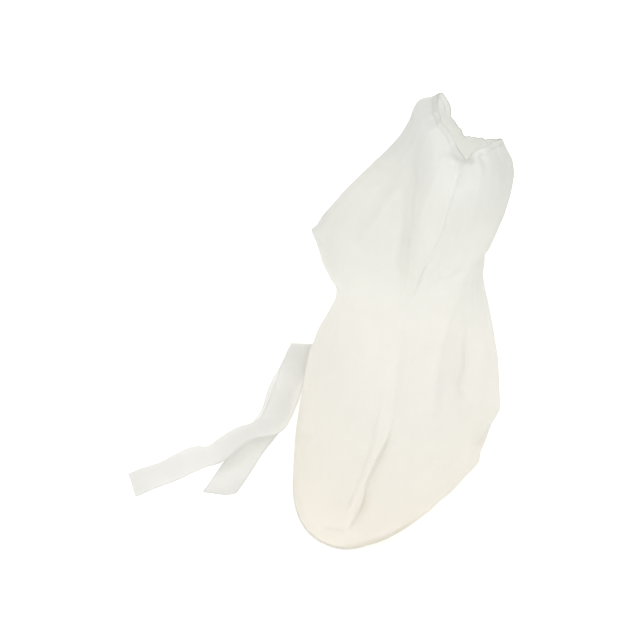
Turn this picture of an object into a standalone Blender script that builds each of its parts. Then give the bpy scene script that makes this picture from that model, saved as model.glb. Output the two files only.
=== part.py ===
"""Disposable overboot of thin white nonwoven sheet.

A slack upper stands on a flat sole panel. Its collar ends in a gathered hem, a pinched seam
runs down the front, and two flat ties are tacked to one side of the ankle.
"""

import math
from collections import namedtuple

import bmesh
import bpy
import numpy as np

# Driving dimensions in metres. X runs across, the toe points to -Y, and Z rises from the floor.
SOLE_LENGTH = 0.360
BALL_WIDTH = 0.150
COLLAR_HEIGHT = 0.340
FIT_GAP = 0.0003

# Sheet thicknesses
WALL = 0.0010
SOLE_SHEET = 0.0012
TIE_SHEET = 0.0006

# Upper: rings from the sole to the collar, with a few more near the rim, crowded round the front seam
UPPER_RINGS = 29
RIM_RINGS = 4
UPPER_SEGMENTS = 60
SEAM_CROWDING = 0.62

# The collar rises to an ear on each side, and more so behind the middle
EAR_LEAN = 0.38
EAR_SHARPNESS_FRONT = 1.15
EAR_SHARPNESS_BACK = 1.60

# Pinched front seam, higher on the foot. Its places are shares of the way from sole to collar.
SEAM_SPREAD = 0.0065
SEAM_RISE_FOOT = 0.0042
SEAM_RISE_SHAFT = 0.0016
SEAM_SHIFT = 0.002
SEAM_FOOT_TOP = 0.346
SEAM_SHAFT_START = 0.731
SEAM_FADE_TOE = 0.167
SEAM_FADE_COLLAR = 0.125
SEAM_FACING = 0.3

# Soft folds die away near the sole and the collar, and thin out at their own ends
FOLD_FADE_SOLE = 0.25
FOLD_FADE_COLLAR = 0.10
FOLD_END_SHARE = 0.35
FOLD_STEPS = 25

# Sole panel
SOLE_MARGIN = 0.0015

# Collar hem: a flat casing round the elastic
HEM_HEIGHT = 0.0065
HEM_THICKNESS = 0.0026
HEM_SIDES = 10
HEM_GATHERS = 17
HEM_GATHER_DEPTH = 0.0010
HEM_POWER_UP = 0.6
HEM_POWER_OUT = 0.7
HEM_SEAT_GAP = 0.0004

# Ties
TIE_WIDTH = 0.030
TIE_STEPS = 5
TIE_TACK_STATION = 2.9
TIE_TACK_ANGLE = -101.5
TIE_STACK_OUT = 0.6
TACK_PATCH_ROWS = 0.1
TACK_PATCH_TURN = 0.05

# One row per section of the upper, from the sole to the collar. Front, back, seam, left and
# right are shares of the sole length or of half the ball width, and the heights are shares of
# the collar height. The rounds are superellipse powers, and a taper widens the front half.
Section = namedtuple(
    "Section",
    "front front_up back back_up left right left_round right_round"
    " left_taper right_taper left_ear right_ear seam",
)
SECTIONS = (
    Section(-0.506, 0.000, 0.489, 0.000, 0.86, 1.04, 2.45, 1.85, 0.10, 0.05, 0.0, 0.0, -0.05),
    Section(-0.518, 0.026, 0.503, 0.038, 0.92, 1.34, 2.46, 1.88, 0.09, 0.06, 0.0, 0.0, -0.06),
    Section(-0.492, 0.076, 0.508, 0.084, 1.01, 1.54, 2.28, 1.92, 0.08, 0.05, 0.0, 0.0, -0.05),
    Section(-0.417, 0.120, 0.506, 0.131, 1.12, 1.67, 2.09, 2.05, 0.06, 0.04, 0.0, 0.0, 0.00),
    Section(-0.306, 0.178, 0.494, 0.178, 1.18, 1.63, 1.93, 1.84, 0.05, -0.02, 0.0, 0.0, 0.07),
    Section(-0.183, 0.249, 0.478, 0.231, 1.13, 1.49, 1.75, 1.70, 0.03, -0.06, 0.0, 0.0, 0.11),
    Section(-0.061, 0.331, 0.461, 0.290, 1.10, 1.33, 1.61, 1.73, 0.01, 0.02, 0.0, 0.0, 0.07),
    Section(0.039, 0.425, 0.450, 0.360, 1.40, 1.14, 1.30, 1.76, 0.00, 0.00, 0.0, 0.0, 0.00),
    Section(0.089, 0.537, 0.450, 0.460, 1.60, 0.90, 1.22, 1.83, 0.00, 0.00, 0.0, 0.0, 0.00),
    Section(0.111, 0.660, 0.450, 0.584, 1.42, 0.84, 1.34, 1.95, 0.00, 0.01, 0.0, 0.0, 0.03),
    Section(0.122, 0.796, 0.433, 0.731, 1.16, 0.86, 1.54, 1.95, 0.01, 0.02, 0.0, 0.0, 0.00),
    Section(0.133, 0.930, 0.392, 0.850, 0.87, 0.80, 1.75, 1.95, 0.01, 0.01, 0.045, 0.005, -0.03),
    Section(0.156, 0.985, 0.336, 0.924, 0.80, 0.63, 1.90, 1.90, 0.00, 0.00, 0.112, 0.03, -0.05),
)

# The elastic draws the rim in, over the last share of a section. One row every 20 degrees, from the
# back round by the left side.
RIM_REACH = 0.55
RimDraw = namedtuple("RimDraw", "side rise")
RIM = (
    RimDraw(0.0016, 0.0001),
    RimDraw(0.0078, -0.0041),
    RimDraw(0.0154, -0.0085),
    RimDraw(0.0227, -0.0049),
    RimDraw(0.0223, 0.0047),
    RimDraw(0.0182, 0.0078),
    RimDraw(0.0146, 0.0054),
    RimDraw(0.0095, 0.0062),
    RimDraw(0.0050, 0.0046),
    RimDraw(0.0018, -0.0072),
    RimDraw(0.0006, -0.0052),
    RimDraw(-0.0068, 0.0049),
    RimDraw(-0.0098, 0.0080),
    RimDraw(-0.0086, 0.0088),
    RimDraw(-0.0078, 0.0061),
    RimDraw(-0.0069, 0.0014),
    RimDraw(-0.0049, -0.0006),
    RimDraw(-0.0018, -0.0008),
)

# One row per fold or corner of the sheet, as a straight run between two places on the upper.
# A place is a section number and an angle in degrees from the front seam. A rise below zero
# is a trough. The crest is round at a power of 2 and pointed at 1.
Fold = namedtuple("Fold", "from_row from_angle to_row to_angle rise spread power")
FOLDS = (
    Fold(10.9, -56.0, 7.4, -16.0, -0.0078, 0.0130, 2.0),
    Fold(8.4, -48.0, 10.1, -39.0, 0.0050, 0.0120, 2.0),
    Fold(7.9, 10.0, 8.3, 52.0, -0.0040, 0.0090, 2.0),
    Fold(8.1, 54.0, 6.4, 24.0, 0.0050, 0.0130, 2.0),
    Fold(6.4, 24.0, 5.0, 33.0, 0.0050, 0.0130, 2.0),
    Fold(7.1, 44.0, 5.9, 46.0, -0.0060, 0.0120, 2.0),
    Fold(4.2, 20.0, 2.9, 66.0, -0.0030, 0.0120, 2.0),
    Fold(7.7, -68.0, 7.85, -102.0, 0.0075, 0.0170, 1.0),
    Fold(6.55, -62.0, 6.45, -100.0, -0.0040, 0.0130, 1.4),
    Fold(8.5, 50.0, 8.55, 100.0, -0.0040, 0.0130, 1.4),
    Fold(4.05, 64.0, 3.7, 100.0, 0.0050, 0.0180, 1.0),
)

# One row per station of a tie, from the tack outwards. Side and along are measured from the
# tack, the height is above the floor, the turn is the plan direction of the tie's width, and the
# tilt lifts the width's right end. The first row only turns the tie, which ends at the tack.
Station = namedtuple("Station", "side along height turn tilt")
TIE_SHORT = (
    Station(0.0000, 0.000, 0.0000, -12.0, 20.0),
    Station(-0.0165, -0.018, 0.0150, -9.0, 13.0),
    Station(-0.0208, -0.045, 0.0032, -4.0, 4.0),
    Station(-0.0204, -0.079, 0.0006, -4.0, 0.0),
    Station(-0.0245, -0.110, 0.0006, -15.0, 0.0),
    Station(-0.0325, -0.134, 0.0006, -17.0, 0.0),
    Station(-0.0415, -0.169, 0.0006, -13.0, 0.0),
    Station(-0.0515, -0.212, 0.0006, 12.0, 0.0),
)
TIE_LONG = (
    Station(0.0000, 0.000, 0.0020, -12.0, 20.0),
    Station(-0.0165, -0.018, 0.0172, -9.0, 13.0),
    Station(-0.0208, -0.046, 0.0052, -4.0, 4.0),
    Station(-0.0204, -0.081, 0.0024, -5.0, 2.0),
    Station(-0.0250, -0.105, 0.0048, -20.0, 10.0),
    Station(-0.0460, -0.127, 0.0078, -36.0, 22.0),
    Station(-0.0580, -0.146, 0.0076, -32.0, 23.0),
    Station(-0.0675, -0.164, 0.0062, -38.0, 16.0),
    Station(-0.0835, -0.174, 0.0032, -48.0, 2.0),
    Station(-0.0965, -0.190, 0.0034, -40.0, 3.0),
    Station(-0.1080, -0.205, 0.0030, -40.0, 6.0),
    Station(-0.1240, -0.221, 0.0026, -44.0, 4.0),
    Station(-0.1380, -0.234, 0.0012, -48.0, 2.0),
)

SHEET_COLOUR = (0.80, 0.79, 0.74, 1.0)
SOLE_COLOUR = (0.78, 0.77, 0.73, 1.0)
TIE_COLOUR = (0.80, 0.80, 0.76, 1.0)
SHEET_ROUGHNESS = 0.85


def between_rows(rows, places):
    """Smooth values at places along a table, where place 1.0 is the second row."""
    table = np.array(rows, float)
    last = len(table) - 1
    places = np.clip(np.asarray(places, float), 0.0, last)
    index = np.minimum(places.astype(int), last - 1)
    f = (places - index)[:, None]
    before = table[np.maximum(index - 1, 0)]
    here = table[index]
    after = table[index + 1]
    beyond = table[np.minimum(index + 2, last)]
    square = 2.0 * before - 5.0 * here + 4.0 * after - beyond
    cube = 3.0 * (here - after) + beyond - before
    return here + 0.5 * f * ((after - before) + f * (square + f * cube))


def signed_power(values, power):
    return np.sign(values) * np.abs(values) ** power


def plain_ring(row, angles):
    """Points of one section. Angle zero is the front seam, and positive angles go to +X."""
    s = Section(*row)
    c = np.cos(angles)
    n = np.sin(angles)
    right = n > 0.0
    half_width = 0.5 * BALL_WIDTH * np.where(right, s.right, s.left)
    taper = np.where(right, s.right_taper, s.left_taper)
    power = 2.0 / np.where(right, s.right_round, s.left_round)
    along = signed_power(c, power)
    across = signed_power(n, power)
    ear = np.where(right, s.right_ear, s.left_ear)
    sharpness = np.where(c > 0.0, EAR_SHARPNESS_FRONT, EAR_SHARPNESS_BACK)
    ear_shape = np.abs(n) ** sharpness * (1.0 - EAR_LEAN * c)
    x = half_width * across * (1.0 + taper * along) + 0.25 * BALL_WIDTH * s.seam * (1.0 + c)
    y = 0.5 * SOLE_LENGTH * ((s.front + s.back) - (s.back - s.front) * along)
    up = s.front_up + 0.5 * (s.back_up - s.front_up) * (1.0 - along) + ear * ear_shape
    z = SOLE_SHEET + FIT_GAP + COLLAR_HEIGHT * up
    return np.stack([x, y, z], axis=1)


def rim_draw(angles):
    """How far the elastic moves the rim at each angle, to the side and up."""
    ring = RIM[-1:] + RIM + RIM[:2]
    turns = (np.degrees(angles) + 180.0) % 360.0 / 360.0
    return between_rows(ring, turns * len(RIM) + 1.0)


def plain_grid(places, angles):
    """The upper without its folds, as rings of points at places along the sections."""
    grid = np.array([plain_ring(row, angles) for row in between_rows(SECTIONS, places)])
    near = np.clip((np.asarray(places) - (len(SECTIONS) - 1)) / RIM_REACH + 1.0, 0.0, 1.0)
    near = near**2 * (3.0 - 2.0 * near)
    drawn = near[:, None, None] * rim_draw(angles)
    grid[:, :, 0] += drawn[:, :, 0]
    grid[:, :, 2] += drawn[:, :, 1]
    return grid


def outward_normals(grid):
    up = np.gradient(grid, axis=0)
    around = np.roll(grid, -1, axis=1) - np.roll(grid, 1, axis=1)
    normal = np.cross(around, up)
    return normal / np.linalg.norm(normal, axis=2, keepdims=True)


def fold_lift(grid, fold):
    """How far a fold lifts each point of the grid, by the distance from its run."""
    steps = np.linspace(0.0, 1.0, FOLD_STEPS)
    rows = fold.from_row + (fold.to_row - fold.from_row) * steps
    turns = np.radians(fold.from_angle + (fold.to_angle - fold.from_angle) * steps)
    lift = np.zeros(grid.shape[:2])
    for row, turn, step in zip(rows, turns, steps):
        place = plain_grid([row], np.array([turn]))[0, 0]
        distance = np.linalg.norm(grid - place, axis=2)
        fullness = FOLD_END_SHARE + (1.0 - FOLD_END_SHARE) * math.sin(math.pi * step)
        found = fold.rise * fullness * np.exp(-((distance / fold.spread) ** fold.power))
        lift = np.where(np.abs(found) > np.abs(lift), found, lift)
    return lift


def end_fade(share, low, high):
    """One along the middle of the upper, and down to zero over a share at each end."""
    return np.clip(share / low, 0.0, 1.0) * np.clip((1.0 - share) / high, 0.0, 1.0)


def upper_grid(places, angles):
    """The upper's outer face: the plain sections, the seam's ridge and the folds."""
    grid = plain_grid(places, angles)
    centre = plain_grid(places, np.array([0.0]))[:, 0, 0] + SEAM_SHIFT
    share = np.asarray(places) / (len(SECTIONS) - 1)
    rise = np.interp(share, [SEAM_FOOT_TOP, SEAM_SHAFT_START], [SEAM_RISE_FOOT, SEAM_RISE_SHAFT])
    rise = rise * end_fade(share, SEAM_FADE_TOE, SEAM_FADE_COLLAR)
    from_seam = (grid[:, :, 0] - centre[:, None]) / SEAM_SPREAD
    facing = np.cos(angles)[None, :] > SEAM_FACING
    lift = np.where(facing, rise[:, None] * np.exp(-(from_seam**2)), 0.0)
    for fold in FOLDS:
        lift = lift + fold_lift(grid, fold)
    fade = end_fade(share, FOLD_FADE_SOLE, FOLD_FADE_COLLAR)
    return grid + outward_normals(grid) * (lift * fade[:, None])[:, :, None]


def crowded_angles(count):
    even = 2.0 * math.pi * np.arange(count) / count
    return even - SEAM_CROWDING * np.sin(even)


def mesh_object(name, bm, collection, material):
    bmesh.ops.recalc_face_normals(bm, faces=bm.faces)
    mesh = bpy.data.meshes.new(name)
    bm.to_mesh(mesh)
    bm.free()
    mesh.shade_smooth()
    mesh.materials.append(material)
    obj = bpy.data.objects.new(name, mesh)
    collection.objects.link(obj)
    return obj


def lofted(rings, closed_around, closed_along):
    """A quad skin through rings of points."""
    bm = bmesh.new()
    verts = [[bm.verts.new(point) for point in ring] for ring in rings]
    count = len(rings[0])
    pairs = len(rings) if closed_along else len(rings) - 1
    for i in range(pairs):
        low = verts[i]
        high = verts[(i + 1) % len(rings)]
        for k in range(count if closed_around else count - 1):
            after = (k + 1) % count
            bm.faces.new((low[k], low[after], high[after], high[k]))
    return bm


def thicken(obj, thickness, offset):
    solid = obj.modifiers.new("Sheet", "SOLIDIFY")
    solid.thickness = thickness
    solid.offset = offset
    solid.use_even_offset = True
    solid.use_rim = True


def sheet_material(name, colour):
    material = bpy.data.materials.new(name)
    material.use_nodes = True
    shader = material.node_tree.nodes["Principled BSDF"]
    shader.inputs["Base Color"].default_value = colour
    shader.inputs["Roughness"].default_value = SHEET_ROUGHNESS
    shader.inputs["Metallic"].default_value = 0.0
    return material


def build_upper(collection):
    top = len(SECTIONS) - 1
    body = np.linspace(0.0, top - RIM_REACH, UPPER_RINGS)
    rim = np.linspace(top - RIM_REACH, top, RIM_RINGS + 1)
    places = np.concatenate([body, rim[1:]])
    grid = upper_grid(places, crowded_angles(UPPER_SEGMENTS))
    bm = lofted(grid.tolist(), True, False)
    upper = mesh_object("upper", bm, collection, sheet_material("upper_sheet", SHEET_COLOUR))
    thicken(upper, WALL, -1.0)
    return upper


def build_sole(collection):
    """A flat panel a little larger than the foot of the upper."""
    outline = plain_grid([0.0], crowded_angles(UPPER_SEGMENTS))[0]
    flat = outline[:, :2]
    edge = np.roll(flat, -1, axis=0) - np.roll(flat, 1, axis=0)
    out = np.stack([edge[:, 1], -edge[:, 0]], axis=1)
    out = out / np.linalg.norm(out, axis=1, keepdims=True)
    flat = flat + SOLE_MARGIN * out
    curve = bpy.data.curves.new("sole", "CURVE")
    curve.dimensions = "2D"
    curve.fill_mode = "BOTH"
    curve.extrude = 0.5 * SOLE_SHEET
    spline = curve.splines.new("POLY")
    spline.points.add(len(flat) - 1)
    for point, (x, y) in zip(spline.points, flat):
        point.co = (x, y, 0.0, 1.0)
    spline.use_cyclic_u = True
    curve.materials.append(sheet_material("sole_sheet", SOLE_COLOUR))
    sole = bpy.data.objects.new("sole", curve)
    sole.location.z = 0.5 * SOLE_SHEET
    collection.objects.link(sole)
    return sole


def build_collar_hem(collection):
    """A gathered band that follows the upper's top rim."""
    top = len(SECTIONS) - 1
    angles = crowded_angles(UPPER_SEGMENTS)
    pair = upper_grid([top - RIM_REACH / RIM_RINGS, top], angles)
    rim = pair[1]
    rise = pair[1] - pair[0]
    rise = rise / np.linalg.norm(rise, axis=1, keepdims=True)
    around = np.roll(rim, -1, axis=0) - np.roll(rim, 1, axis=0)
    out = np.cross(around, rise)
    out = out / np.linalg.norm(out, axis=1, keepdims=True)
    up = np.cross(out, around)
    up = up / np.linalg.norm(up, axis=1, keepdims=True)
    wave = np.sin(HEM_GATHERS * angles)
    sides = 2.0 * math.pi * (np.arange(HEM_SIDES) + 0.5) / HEM_SIDES
    tall = 0.5 * HEM_HEIGHT
    profile_up = signed_power(np.sin(sides), HEM_POWER_UP)
    profile_up = tall * profile_up / np.max(profile_up)
    profile_out = 0.5 * HEM_THICKNESS * signed_power(np.cos(sides), HEM_POWER_OUT)
    rings = []
    for k in range(len(rim)):
        shift = HEM_GATHER_DEPTH * wave[k] - 0.5 * WALL
        middle = rim[k] + up[k] * (HEM_SEAT_GAP + tall) + out[k] * shift
        ring = middle + np.outer(profile_up, up[k]) + np.outer(profile_out, out[k])
        rings.append(ring.tolist())
    bm = lofted(rings, True, True)
    return mesh_object("collar_hem", bm, collection, sheet_material("hem_sheet", SHEET_COLOUR))


def tie_tack():
    """The place on the upper where the ties are tacked, and its outward direction."""
    angle = math.radians(TIE_TACK_ANGLE)
    patch = upper_grid(
        TIE_TACK_STATION + TACK_PATCH_ROWS * np.array([-1.0, 0.0, 1.0]),
        angle + TACK_PATCH_TURN * np.array([-1.0, 0.0, 1.0]),
    )
    out = np.cross(patch[1, 2] - patch[1, 0], patch[2, 1] - patch[0, 1])
    return patch[1, 1], out / np.linalg.norm(out)


def build_tie(name, stations, collection):
    """A flat strip from the tack along a table of stations."""
    tack, out = tie_tack()
    count = TIE_STEPS * (len(stations) - 1) + 1
    spots = np.array(stations, float)
    turn = np.radians(spots[:, 3])
    tilt = np.radians(spots[:, 4])
    spots[:, :2] += tack[:2]
    level = math.cos(tilt[0])
    first = np.array([math.cos(turn[0]) * level, math.sin(turn[0]) * level, math.sin(tilt[0])])
    spots[0, :3] = tack + out * (FIT_GAP + 0.5 * TIE_SHEET) - first * 0.5 * TIE_WIDTH
    spots[0, :3] += stations[0].height * (TIE_STACK_OUT * out + np.array([0.0, 0.0, 1.0]))
    values = between_rows(spots, np.linspace(0.0, len(stations) - 1, count))
    middle = values[:, :3]
    turn = np.radians(values[:, 3])
    tilt = np.radians(values[:, 4])
    width = np.stack([np.cos(turn) * np.cos(tilt), np.sin(turn) * np.cos(tilt), np.sin(tilt)], axis=1)
    run = np.gradient(middle, axis=0)
    run = run / np.linalg.norm(run, axis=1, keepdims=True)
    square = np.linalg.norm(np.cross(width, run), axis=1)
    rows = []
    for point, direction, slant in zip(middle, width, square):
        reach = direction * TIE_WIDTH / slant
        rows.append([tuple(point + reach * share) for share in (-0.5, 0.0, 0.5)])
    bm = lofted(rows, False, False)
    tie = mesh_object(name, bm, collection, sheet_material(name + "_sheet", TIE_COLOUR))
    thicken(tie, TIE_SHEET, 0.0)
    return tie


def main():
    for obj in list(bpy.data.objects):
        bpy.data.objects.remove(obj, do_unlink=True)
    collection = bpy.data.collections.new("overboot")
    bpy.context.scene.collection.children.link(collection)
    build_sole(collection)
    build_upper(collection)
    build_collar_hem(collection)
    build_tie("tie_long", TIE_LONG, collection)
    build_tie("tie_short", TIE_SHORT, collection)


main()
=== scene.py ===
# Overboot of thin nonwoven sheet: a slack upper on a flat sole panel, a gathered collar and two flat ties
import math

import bmesh
import bpy
import numpy as np
from mathutils import Matrix, Vector, noise


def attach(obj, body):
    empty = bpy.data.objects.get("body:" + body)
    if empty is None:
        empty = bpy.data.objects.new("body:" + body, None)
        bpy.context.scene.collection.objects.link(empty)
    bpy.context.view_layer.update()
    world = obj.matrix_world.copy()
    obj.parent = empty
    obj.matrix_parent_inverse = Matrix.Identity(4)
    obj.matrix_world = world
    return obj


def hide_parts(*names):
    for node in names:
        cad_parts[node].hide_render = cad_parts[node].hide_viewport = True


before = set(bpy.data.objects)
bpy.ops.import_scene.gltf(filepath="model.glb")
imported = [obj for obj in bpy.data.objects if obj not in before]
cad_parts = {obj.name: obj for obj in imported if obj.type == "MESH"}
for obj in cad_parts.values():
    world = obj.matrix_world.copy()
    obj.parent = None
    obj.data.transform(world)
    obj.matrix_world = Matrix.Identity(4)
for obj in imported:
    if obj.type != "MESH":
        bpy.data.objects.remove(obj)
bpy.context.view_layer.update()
scene = bpy.context.scene
print("frame loaded:", ", ".join(sorted(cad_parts)))


# camera: over the toe, in line with the boot and rolled a little
cameraView = dict(
    target=(-0.086, -0.027, 0.150),
    distance=1.6,
    elevation=42.0,
    roll=17.2,
    lens=88.2,  # millimetres, as is the sensor
    sensor=36.0,
    clip=(0.05, 30.0),
)


def placeCamera(p):
    high, turn = math.radians(p["elevation"]), math.radians(p["roll"])
    back = Vector((0.0, -math.cos(high), math.sin(high)))
    level = Vector((1.0, 0.0, 0.0))
    rise = back.cross(level)
    right = level * math.cos(turn) + rise * math.sin(turn)
    up = rise * math.cos(turn) - level * math.sin(turn)
    data = bpy.data.cameras.new("photoCamera")
    data.lens = p["lens"]
    data.sensor_width = p["sensor"]
    data.sensor_fit = "HORIZONTAL"
    data.clip_start, data.clip_end = p["clip"]
    camera = bpy.data.objects.new("photoCamera", data)
    scene.collection.objects.link(camera)
    turned = Matrix((right, up, back)).transposed().to_4x4()
    camera.matrix_world = Matrix.Translation(Vector(p["target"]) + back * p["distance"]) @ turned
    scene.camera = camera


placeCamera(cameraView)
print("camera placed")


# small tools that every piece uses
def smoothRows(rows, places):
    # the table's values on a smooth curve through its rows, at places counted in rows
    table = np.array(rows, float)
    last = len(table) - 1
    places = np.clip(np.asarray(places, float), 0.0, last)
    index = np.minimum(places.astype(int), last - 1)
    f = (places - index)[:, None]
    before, here = table[np.maximum(index - 1, 0)], table[index]
    after, beyond = table[index + 1], table[np.minimum(index + 2, last)]
    square = 2.0 * before - 5.0 * here + 4.0 * after - beyond
    cube = 3.0 * (here - after) + beyond - before
    return here + 0.5 * f * ((after - before) + f * (square + f * cube))


def signedPower(values, power):
    return np.sign(values) * np.abs(values) ** power


def easeIn(values, low, high):
    t = np.clip((values - low) / (high - low), 0.0, 1.0)
    return t * t * (3.0 - 2.0 * t)


def unit(vectors):
    return vectors / np.maximum(np.linalg.norm(vectors, axis=-1, keepdims=True), 1e-12)


def turnedDegrees(angles):
    return (np.degrees(angles) + 180.0) % 360.0 - 180.0


def flatSheet(columns, rows):
    # a flat cut of cloth, with the share across and the share along of each of its points
    bm = bmesh.new()
    bmesh.ops.create_grid(bm, x_segments=columns, y_segments=rows, size=0.5)
    spots = np.array([v.co[:] for v in bm.verts])
    low, high = spots[:, :2].min(axis=0), spots[:, :2].max(axis=0)
    across, along = ((spots[:, :2] - low) / (high - low)).T
    return bm, across, along


def shapeSheet(bm, points):
    for v, point in zip(bm.verts, points):
        v.co = point


def metricMap(bm, measures):
    # the cloth's own map in metres, one place per point
    bm.verts.index_update()
    layer = bm.loops.layers.uv.new("sheetMap")
    for face in bm.faces:
        for loop in face.loops:
            loop[layer].uv = measures[loop.vert.index]


def paint(bm, name, values):
    # one value per point, for the finish to read
    layer = bm.verts.layers.float.new(name)
    for v, value in zip(bm.verts, values):
        v[layer] = value


def newPiece(name, bm, material, replaced=()):
    mesh = bpy.data.meshes.new(name)
    bm.to_mesh(mesh)
    bm.free()
    mesh.shade_smooth()
    mesh.materials.append(material)
    piece = bpy.data.objects.new(name, mesh)
    scene.collection.objects.link(piece)
    if replaced:
        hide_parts(*replaced)
    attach(piece, "root")
    return piece


def thicken(piece, thickness, offset):
    solid = piece.modifiers.new("Sheet", "SOLIDIFY")
    solid.thickness = thickness
    solid.offset = offset
    solid.use_rim = True


# finish: spun-bonded nonwoven sheet, with cloudy fibres, rows of bond points and fine crumpling
sheetFinish = dict(
    bondPitch=0.0014,
    bondTurn=32.0,
    bondLooseness=0.12,
    bondEdge=(0.18, 0.36),  # a bond point fades out between these shares of the pitch
    fibreTurns=(24.0, -38.0),
    fibreDraw=0.16,
    fibre=dict(scale=1500.0, detail=3.0, rough=0.6),
    cloud=dict(scale=55.0, detail=4.0, rough=0.55),
    crumple=dict(scale=95.0, detail=5.0, rough=0.6),
    cloudShare=0.8,
    fibreShare=0.35,
    paleRange=(0.38, 0.82),  # clouds and fibres together, from the deep colour to the pale one
    crumpleBump=dict(distance=0.0016, strength=0.30),
    fibreBump=dict(distance=0.0003, strength=0.35),
    bondBump=dict(distance=0.00025, strength=0.40),
    roughness=(0.72, 0.90),  # on the bond points and between them
    specular=0.25,
    sheen=0.12,
    sheenRoughness=0.5,
    through=0.60,  # share of the light that each face lets through
)


def link(tree, source, target):
    tree.links.new(source, target)


def addNode(tree, kind, **values):
    node = tree.nodes.new("ShaderNode" + kind)
    for name, value in values.items():
        setattr(node, name, value)
    return node


def feed(tree, socket, value):
    # a socket takes a fixed value or another node's output
    if isinstance(value, (int, float, tuple)):
        socket.default_value = value
    else:
        link(tree, value, socket)


def mathStep(tree, operation, first, second):
    node = addNode(tree, "Math", operation=operation)
    feed(tree, node.inputs[0], first)
    feed(tree, node.inputs[1], second)
    return node.outputs[0]


def blendColours(tree, share, first, second):
    node = addNode(tree, "Mix", data_type="RGBA")
    feed(tree, node.inputs[0], share)
    feed(tree, node.inputs[6], first)  # the colour sockets come after those for numbers and vectors
    feed(tree, node.inputs[7], second)
    return node.outputs[2]


def rangeStep(tree, value, taken=(0.0, 1.0), given=(0.0, 1.0), interpolation="LINEAR"):
    node = addNode(tree, "MapRange", interpolation_type=interpolation)
    for name, limit in zip(("From Min", "From Max", "To Min", "To Max"), (*taken, *given)):
        node.inputs[name].default_value = limit
    link(tree, value, node.inputs["Value"])
    return node.outputs["Result"]


def turnedMap(tree, place, turn, draw=1.0):
    node = addNode(tree, "Mapping")
    node.inputs["Rotation"].default_value = (0.0, 0.0, math.radians(turn))
    node.inputs["Scale"].default_value = (1.0, draw, 1.0)
    link(tree, place, node.inputs["Vector"])
    return node.outputs["Vector"]


def noiseOn(tree, place, scale, detail, rough=0.5):
    node = addNode(tree, "TexNoise")
    node.inputs["Scale"].default_value = scale
    node.inputs["Detail"].default_value = detail
    node.inputs["Roughness"].default_value = rough
    link(tree, place, node.inputs["Vector"])
    return node.outputs["Fac"]


def bumpFrom(tree, height, distance, strength, before=None):
    node = addNode(tree, "Bump")
    node.inputs["Strength"].default_value = strength
    node.inputs["Distance"].default_value = distance
    link(tree, height, node.inputs["Height"])
    if before is not None:
        link(tree, before, node.inputs["Normal"])
    return node.outputs["Normal"]


def bondPoints(tree, cloth, p):
    # 0 on the bond points, which lie in slanted rows, and 1 between them
    cells = addNode(tree, "TexVoronoi", voronoi_dimensions="2D")
    cells.inputs["Scale"].default_value = 1.0 / p["bondPitch"]
    cells.inputs["Randomness"].default_value = p["bondLooseness"]
    link(tree, turnedMap(tree, cloth, p["bondTurn"]), cells.inputs["Vector"])
    return rangeStep(tree, cells.outputs["Distance"], taken=p["bondEdge"], interpolation="SMOOTHSTEP")


def letThrough(tree, shader, colour, normal, share):
    # the thin sheet lets light through, so the inside of the boot isn't dark
    glow = addNode(tree, "BsdfTranslucent")
    link(tree, colour, glow.inputs["Color"])
    link(tree, normal, glow.inputs["Normal"])
    both = addNode(tree, "MixShader")
    both.inputs["Fac"].default_value = share
    link(tree, shader.outputs["BSDF"], both.inputs[1])
    link(tree, glow.outputs["BSDF"], both.inputs[2])
    link(tree, both.outputs["Shader"], tree.nodes["Material Output"].inputs["Surface"])


def sheetMaterial(name, pale, deep, *tints):
    p = sheetFinish
    material = bpy.data.materials.new(name)
    material.use_nodes = True
    tree = material.node_tree
    shader = tree.nodes["Principled BSDF"]
    cloth = addNode(tree, "UVMap", uv_map="sheetMap").outputs["UV"]
    body = addNode(tree, "TexCoord").outputs["Object"]
    bond = bondPoints(tree, cloth, p)
    # fibres drawn out both ways
    drawn = [turnedMap(tree, cloth, turn, p["fibreDraw"]) for turn in p["fibreTurns"]]
    fibre = mathStep(tree, "MAXIMUM", *[noiseOn(tree, way, **p["fibre"]) for way in drawn])
    cloud = noiseOn(tree, body, **p["cloud"])
    crumple = noiseOn(tree, body, **p["crumple"])
    # colour: cloudy from pale to deep, and tinted where an attribute of the piece says: a warmer tone,
    # painted shade or painted light
    clouds = mathStep(tree, "MULTIPLY", cloud, p["cloudShare"])
    strands = mathStep(tree, "MULTIPLY", fibre, p["fibreShare"])
    paleness = rangeStep(tree, mathStep(tree, "ADD", clouds, strands), taken=p["paleRange"])
    colour = blendColours(tree, paleness, (*deep, 1.0), (*pale, 1.0))
    for attribute, tint in tints:
        share = addNode(tree, "Attribute", attribute_name=attribute).outputs["Fac"]
        colour = blendColours(tree, share, colour, (*tint, 1.0))
    link(tree, colour, shader.inputs["Base Color"])
    normal = bumpFrom(tree, crumple, **p["crumpleBump"])
    normal = bumpFrom(tree, fibre, before=normal, **p["fibreBump"])
    normal = bumpFrom(tree, bond, before=normal, **p["bondBump"])
    link(tree, normal, shader.inputs["Normal"])
    link(tree, rangeStep(tree, bond, given=p["roughness"]), shader.inputs["Roughness"])
    shader.inputs["Specular IOR Level"].default_value = p["specular"]
    shader.inputs["Sheen Weight"].default_value = p["sheen"]
    shader.inputs["Sheen Roughness"].default_value = p["sheenRoughness"]
    letThrough(tree, shader, colour, normal, p["through"])
    return material


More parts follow.
